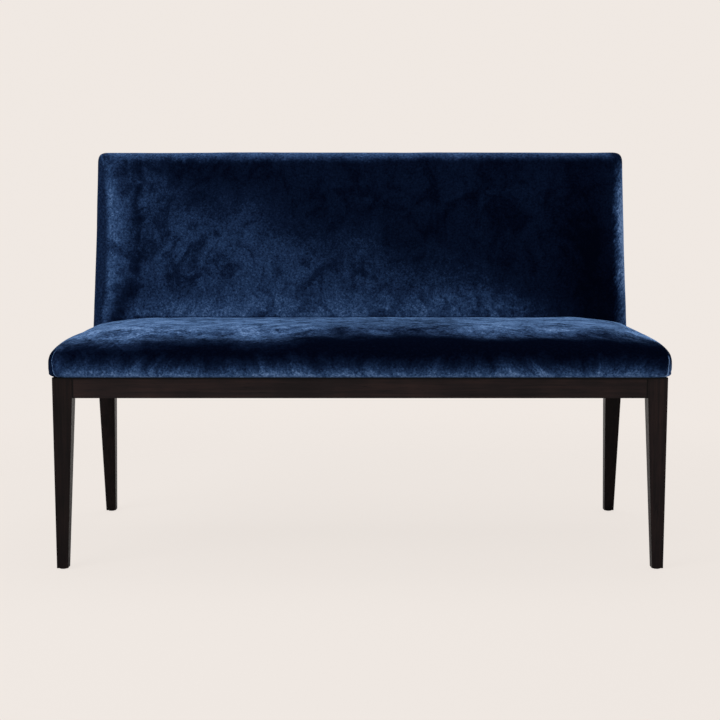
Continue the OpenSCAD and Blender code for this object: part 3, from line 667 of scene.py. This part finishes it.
# Back cushion: foam on the back's webbing, under velvet drawn over the top and both sides, with a
# folded dart at each top corner. It stands on the rails, behind the seat, and leans back.
back_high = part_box("back_cover")[1]
back_half, back_top = back_high.x + 0.003, back_high.z + 0.0012
back_foot, back_depth, top_round, rim_round = 0.18157, 0.070, 0.0145, 0.018
rear_foot, rear_lean = 0.26757, 0.156597


def back_face(z):
    return back_foot + (z - rail_top) * back_lean


def back_rear(z):
    return rear_foot + (z - rail_top) * rear_lean


def back_crown(x, z):
    """How far the front swells out. It is flat behind the seat's cushion."""
    swell, clear_of_seat = 0.006, 0.55
    up = ramp(z, clear_of_seat, back_high.z)
    return swell * (1 - (x / back_half) ** 4) * math.sin(math.pi * up)


def top_ends(form, above):
    """The upper edges that run from front to rear."""
    return [e for e in form.edges if all(v.co.z > above for v in e.verts)
            and abs(e.verts[0].co.x - e.verts[1].co.x) < 0.001]


def rounded(form, edges, radius, segments):
    bmesh.ops.bevel(form, geom=edges, offset=radius, segments=segments, profile=0.5,
                    affect="EDGES", material=-1)


slab = bmesh.new()
bmesh.ops.create_cube(slab, size=1)
sized(slab, (2 * back_half, back_depth, back_top - rail_top),
      (0, back_depth / 2, (back_top + rail_top) / 2))
rounded(slab, top_ends(slab, above=0.8), radius=top_round, segments=8)
front_rim = [e for e in slab.edges if all(v.co.y < 0.001 for v in e.verts)
             and any(v.co.z > rail_top + 0.001 for v in e.verts) and len(e.link_faces) == 2]
rounded(slab, front_rim, radius=rim_round, segments=6)
bmesh.ops.recalc_face_normals(slab, faces=slab.faces)
back = new_piece("back_cushion", slab)
even_mesh(back, size=0.0075)


def leaned_back(p):
    """Squares the lower front corners, leans and crowns the slab, and lets its lower sides out."""
    low_corner, edge = Vector((back_half - rim_round, rim_round)), 0.025
    top_crown, side_spread = 0.0012, 0.0022
    squared(p, low_corner, way=-1, most=6 * ramp(p.z, 0.470, 0.450))
    face = back_face(p.z)
    room = back_rear(p.z) - face - edge
    depth = p.y if p.y < edge else edge + (p.y - edge) * room / (back_depth - edge)
    p.y = face + depth - (back_crown(p.x, p.z) - cover_room) * ramp(p.y, back_depth, edge)
    p.z += top_crown * max(0, (p.z - 0.8) / 0.135) * (1 - (p.x / back_half) ** 2)
    p.x *= 1 + side_spread * ramp(p.z, 0.85, 0.55)
    return p


reshape(back, leaned_back)


def back_grip(p):
    """The cover is stapled down behind the seat, and to the posts at the rear."""
    return max(ramp(p.z, 0.50, 0.48), ramp(back_rear(p.z) - p.y, 0.016, 0.006))


plump(back, back_grip, pressure=4.0, most=0.006)
subdivided(back)


def crease(p, a, b, width, depth):
    """A fold in the cover along the line from a to b, both (x, z), seen from the front."""
    start, end, here = Vector(a), Vector(b), Vector((p.x, p.z))
    along = end - start
    share = ramp((here - start).dot(along), 0, along.length_squared)
    away = (here - start - along * share).length
    return -depth * math.exp(-(away / width) ** 2)


def back_pulls(p, normal):
    """Soft waves, a dart at each top corner, and a slack fold above each lower one."""
    ahead = max(0, -normal.y)
    wave = ripple((p.x * 5, p.z * 5, 7), height=0.0012)
    wave += ripple((p.x * 13, p.z * 13, 3), height=0.0006)
    fold = 0
    for side in (-1, 1):
        fold += ahead * crease(p, (side * 0.660, 0.914), (side * 0.638, 0.876),
                               width=0.006, depth=0.0022)
        fold += ahead * crease(p, (side * 0.662, 0.520), (side * 0.598, 0.600),
                               width=0.016, depth=0.0035)
    off_rail = ramp(p.z, 0.44, 0.47)
    off_rear = ramp(back_rear(p.z) - p.y, 0.006, 0.016)
    return (wave + fold) * off_rail * off_rear + sharp(p, normal, way=-1)


dress(back, back_pulls)


def back_pile_and_painted_light(place, x, y, z):
    """The pile is brushed up over most of the back and stands up towards the top and the right,
    and painted light and shade deepen this: lighter low down and on the left, darker higher up and
    to the right. A flat band with painted light runs down beside the left edge, and a painted
    highlight down the right rim."""
    cloud = place.grain((5.0, 5.0, 5.0), 2.0, 0.6, 0.6)
    patch = place.grain((15.0, 15.0, 12.0), 4.0, 0.6, 0.9)
    mottle = place.grain((46.0, 46.0, 36.0), 4.0, 0.7, 0.6)
    drift = (cloud - 0.5) * 0.22

    # The middle: painted light and shade over the pile, lighter low down and on the left, darker to
    # the right, and brightest just above the seat.
    rising = (z + x * 0.33 + drift + (patch - 0.5) * 0.16).rise(0.80, 0.58)
    strip = (z + drift * 0.5 + (patch - 0.5) * 0.18).rise(0.60, 0.53) * x.rise(0.52, 0.38)
    dim = (x + drift * 0.5).rise(0.42, 0.60)
    level = (rising * 0.29 + strip * 0.26 + 0.09) * (1 - dim * 0.92)
    level = level + dim * z.rise(0.62, 0.85) * 0.03
    spread = (patch.rise(0.36, 0.58) - 0.6) * 0.58 + (mottle - 0.5) * 1.0
    level = level + spread * (level + 0.05)

    # The left side: the band with painted light, a painted highlight on its outer edge, and the
    # painted shade of a fold to the right of it.
    bow = (z - 0.70) * 5.0
    bow = bow.math("MAXIMUM", bow, 0.0)
    flank = x + bow * bow * 0.012 + z.rise(0.575, 0.520) * 0.009 + 0.643
    low = z.rise(0.64, 0.55)
    band = flank.rise(-0.010, 0.012) * flank.rise(0.060 - low * 0.030, 0.006)
    band = band * (0.185 + mottle * 0.10 - low * 0.04)
    edge = flank.rise(0.004, -0.010) * 0.30
    hollow = z.math("MINIMUM", z, 0.62) - 0.62
    fold = (x - hollow * 0.38 + (patch - 0.5) * 0.07).ridge(-0.570, 0.024 + low * 0.044)
    level = level * (1 - x.ridge(-0.53, 0.055) * z.rise(0.70, 0.60) * 0.25)
    level = level * (1 - fold * (1.05 - patch * 1.3 + low * 0.42)) * flank.rise(-0.008, 0.006)
    level = level + band * (1 - fold * low * 0.8) * z.rise(0.928, 0.900) + edge

    # The right rim: a painted highlight, broken by short strokes that slant across it, and duller
    # round the side.
    turned = place.node("Mapping", {}, {"Vector": place, "Rotation": (0, math.radians(-32), 0)})
    hair = turned.grain((170.0, 60.0, 40.0), 3.0, 0.75, 0.3)
    rim = x + (hair - 0.5) * 0.026 + (patch - 0.5) * 0.014 - z.rise(0.820, 0.880) * 0.0075
    rim = rim.rise(0.640, 0.673) * z.rise(0.928, 0.880)
    rim = rim * (1 - z.rise(0.63, 0.55) * 0.45) * (0.78 + hair * 1.0)
    rim = rim * (1 - z.ridge(0.85, 0.07) * 0.2 + z.ridge(0.745, 0.05) * 0.18)
    rim = rim + x.rise(0.590, 0.665) * z.rise(0.58, 0.72) * 0.09
    behind = y - (z - rail_top) * back_lean - back_foot
    rim = rim * (1 - behind.rise(0.012, 0.032) * 0.72)

    # The top edge's painted highlight; the dart in its left corner, with painted shade in it and a
    # painted highlight along its fold; and painted shade where the back meets the seat.
    right = x.rise(-0.1, 0.2)
    top = (z + (mottle - 0.5) * 0.020).rise(0.905 + right * 0.005, 0.935) * (0.30 + cloud * 0.36)
    top = top * x.rise(-0.668, -0.640) * (1 - x.rise(0.630, 0.655) * 0.8)
    painted_dart_shade = x.ridge(-0.648, 0.013) * z.ridge(0.9235, 0.011)
    painted_dart_highlight = (x + (z - 0.925) * 0.3).ridge(-0.6625, 0.0055) * z.rise(0.898, 0.908)
    shaded = z.rise(0.5230, 0.5200) * x.rise(0.60, 0.50) * x.rise(-0.62, -0.52)
    return (level + rim + top) * (1 - shaded * 0.35) * (1 - painted_dart_shade * 0.45) + painted_dart_highlight * 0.28


back.data.materials.append(velvet("velvet on the back", back_pile_and_painted_light))
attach(back, "root")
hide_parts("back_cover", "back_foam")


# Outside back: a thin board covered with the same velvet, drawn round its edges and blind tacked to
# the posts, so that only a fine seam shows between it and the back's sides.
outer = bmesh.new()
bmesh.ops.create_cube(outer, size=1)
lean = math.atan(rear_lean)
tall = (back_high.z - rail_top) / math.cos(lean)
board_thick, board_gap, board_round, board_edge, board_crown = 0.006, 0.0004, 0.015, 0.0035, 0.0022
sized(outer, (2 * (back_half - board_gap), board_thick, tall - 2 * board_gap),
      (0, board_thick / 2, tall / 2))
rounded(outer, top_ends(outer, above=tall - 0.01), radius=board_round, segments=8)
rim = [e for e in outer.edges if all(v.co.y > 0.005 for v in e.verts) and len(e.link_faces) == 2]
rounded(outer, rim, radius=board_edge, segments=4)
# Cut into even strips both ways, so that the panel can swell.
for way, count, first, last in (((1, 0, 0), 60, -back_half, back_half), ((0, 0, 1), 24, 0, tall)):
    for i in range(1, count):
        bmesh.ops.bisect_plane(outer, geom=whole(outer), dist=0.0001, plane_no=way,
                               plane_co=Vector(way) * (first + (last - first) * i / count))
for v in outer.verts:
    if v.co.y > board_thick - 0.0005:
        inward = min(back_half - abs(v.co.x), v.co.z, tall - v.co.z)
        wave = ripple(v.co * 6, height=0.0008) * ramp(inward, 0, 0.05)
        v.co.y += board_crown * ramp(inward, 0, 0.09) ** 0.6 + wave
bmesh.ops.rotate(outer, cent=(0, 0, 0), matrix=Matrix.Rotation(-lean, 3, "X"), verts=outer.verts)
bmesh.ops.translate(outer, vec=(0, rear_foot, rail_top), verts=outer.verts)
bmesh.ops.recalc_face_normals(outer, faces=outer.faces)
outside = new_piece("outside_back", outer)
outside.data.shade_smooth()


def outside_nap(place, x, y, z):
    """The pile is brushed evenly, and a little flatter low down."""
    cloud = place.grain((4.5, 4.5, 4.5), 3.0, 0.6, 0.5)
    patch = place.grain((16.0, 16.0, 16.0), 4.0, 0.62, 0.7)
    return (0.14 + cloud * 0.35 + z.rise(0.75, 0.50) * 0.12) * (0.4 + patch * 1.1)


outside.data.materials.append(velvet("velvet on the outside back", outside_nap))
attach(outside, "root")
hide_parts("outside_back_cover")


# The photograph's view: a long lens straight in front, a little above the middle of the back, and
# tilted slightly down.
camera = put("camera", bpy.data.cameras.new("camera"))
camera.data.lens, camera.data.sensor_width = 75, 36
distance, eye_height, tilt_down = 3.5804, 0.7815, 5.6
camera.location = (0, -distance, eye_height)
camera.rotation_euler = (math.radians(90 - tilt_down), 0, 0)
bpy.context.scene.camera = camera


# The studio: a pale floor that runs out into a backdrop of the same colour, the plain light of a
# white room, a large soft lamp up on the left, and a weaker one over the seat.
paper, white = (0.871, 0.812, 0.766, 1), (0.95, 0.97, 1.0, 1)
world = bpy.data.worlds.new("studio")
bpy.context.scene.world = world
world.use_nodes = True
tree = world.node_tree
tree.nodes.clear()
seen = Shade(tree).node("LightPath", out="Is Camera Ray")
for ray in ("Is Glossy Ray", "Is Transmission Ray"):
    seen = seen.math("MAXIMUM", seen, seen.node("LightPath", out=ray))
room = seen.node("Background", {}, {"Color": white, "Strength": 0.62})
drop = seen.node("Background", {}, {"Color": paper, "Strength": 1.0})
both = seen.node("MixShader", {}, {0: seen, 1: room, 2: drop})
seen.node("OutputWorld", {}, {"Surface": both})

ground = bmesh.new()
floor_radius, fade_from, fade_to = 2.6, 1.0, 2.5
bmesh.ops.create_circle(ground, cap_ends=True, segments=96, radius=floor_radius)
floor = new_piece("floor", ground)
matt = bpy.data.materials.new("floor")
matt.use_nodes = True
tree = matt.node_tree
tree.nodes.clear()
place = Shade(tree).node("TexCoord", out="Object")
away = place.node("VectorMath", {"operation": "LENGTH"}, {0: place}, out="Value")
plain = place.node("BsdfDiffuse", {}, {"Color": (0.72, 0.67, 0.63, 1)})
glow = place.node("Emission", {}, {"Color": paper, "Strength": 1.0})
seen = place.node("LightPath", out="Is Camera Ray")
lit = place.node("MixShader", {}, {0: seen * 0.9, 1: plain, 2: glow})
clear = place.node("BsdfTransparent")
spread = place.node("MixShader", {}, {0: away.rise(fade_from, fade_to), 1: lit, 2: clear})
place.node("OutputMaterial", {}, {"Surface": spread})
floor.data.materials.append(matt)

seat_height = Vector((0, 0, 0.5))
for name, spot, size, power in (("key lamp", (-2.2, -2.4, 2.6), 2.0, 70),
                                ("top lamp", (0.2, 0.6, 2.9), 1.8, 30)):
    lamp = put(name, bpy.data.lights.new(name, "AREA"))
    lamp.data.size, lamp.data.energy = size, power
    lamp.location = spot
    lamp.rotation_euler = (seat_height - Vector(spot)).to_track_quat("-Z", "Y").to_euler()
bpy.context.scene.view_settings.view_transform = "Standard"
